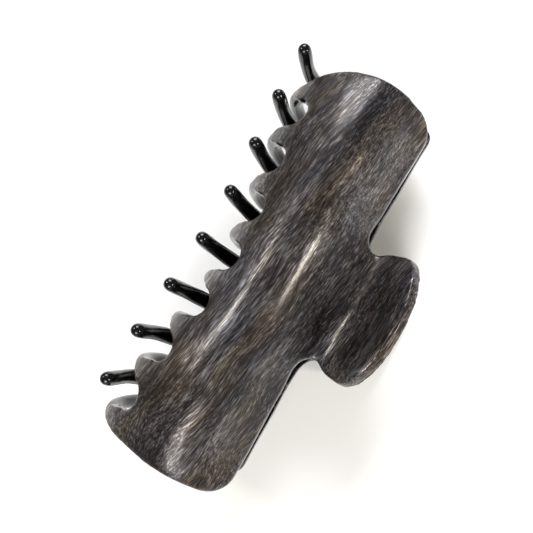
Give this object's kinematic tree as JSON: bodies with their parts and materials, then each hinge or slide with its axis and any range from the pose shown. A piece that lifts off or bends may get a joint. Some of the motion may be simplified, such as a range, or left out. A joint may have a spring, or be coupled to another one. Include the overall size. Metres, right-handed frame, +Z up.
{
  "type": "claw clip",
  "caption": "Long claw clip for hair: arched jaws with interlocking curved teeth and flared finger handles, hinged on a pin and held shut by a torsion spring.",
  "frame": {"origin": "on the surface the clip lies on, under the middle of its bounding box, with the clip lying on its rear jaw", "axes": "+X along the hinge, +Y from the teeth towards the handles, +Z up through the rear jaw and then the front jaw"},
  "size_m": [0.1048, 0.0542, 0.0383],
  "materials": {
    "jaw_plastic": "gloss black moulding, outer face under a clear coat over a brushed brown-grey and silver streaked film",
    "steel": "drawn steel rod with headed ends",
    "spring_steel": "bright spring wire"
  },
  "bodies": {
    "rear": {"rear_jaw": "jaw_plastic", "hinge_pin": "steel", "torsion_spring": "spring_steel"},
    "front": {"front_jaw": "jaw_plastic"}
  },
  "joints": [
    {"name": "jaw_hinge", "type": "hinge", "parent": "rear", "child": "front", "pos_m": [0, 0.0119, 0.01914], "axis": [-1, 0, 0], "range_deg": [0, 80], "stiffness_Nm_per_rad": 0.09, "springref_deg": -45.84, "deforming": ["torsion_spring"]}
  ]
}
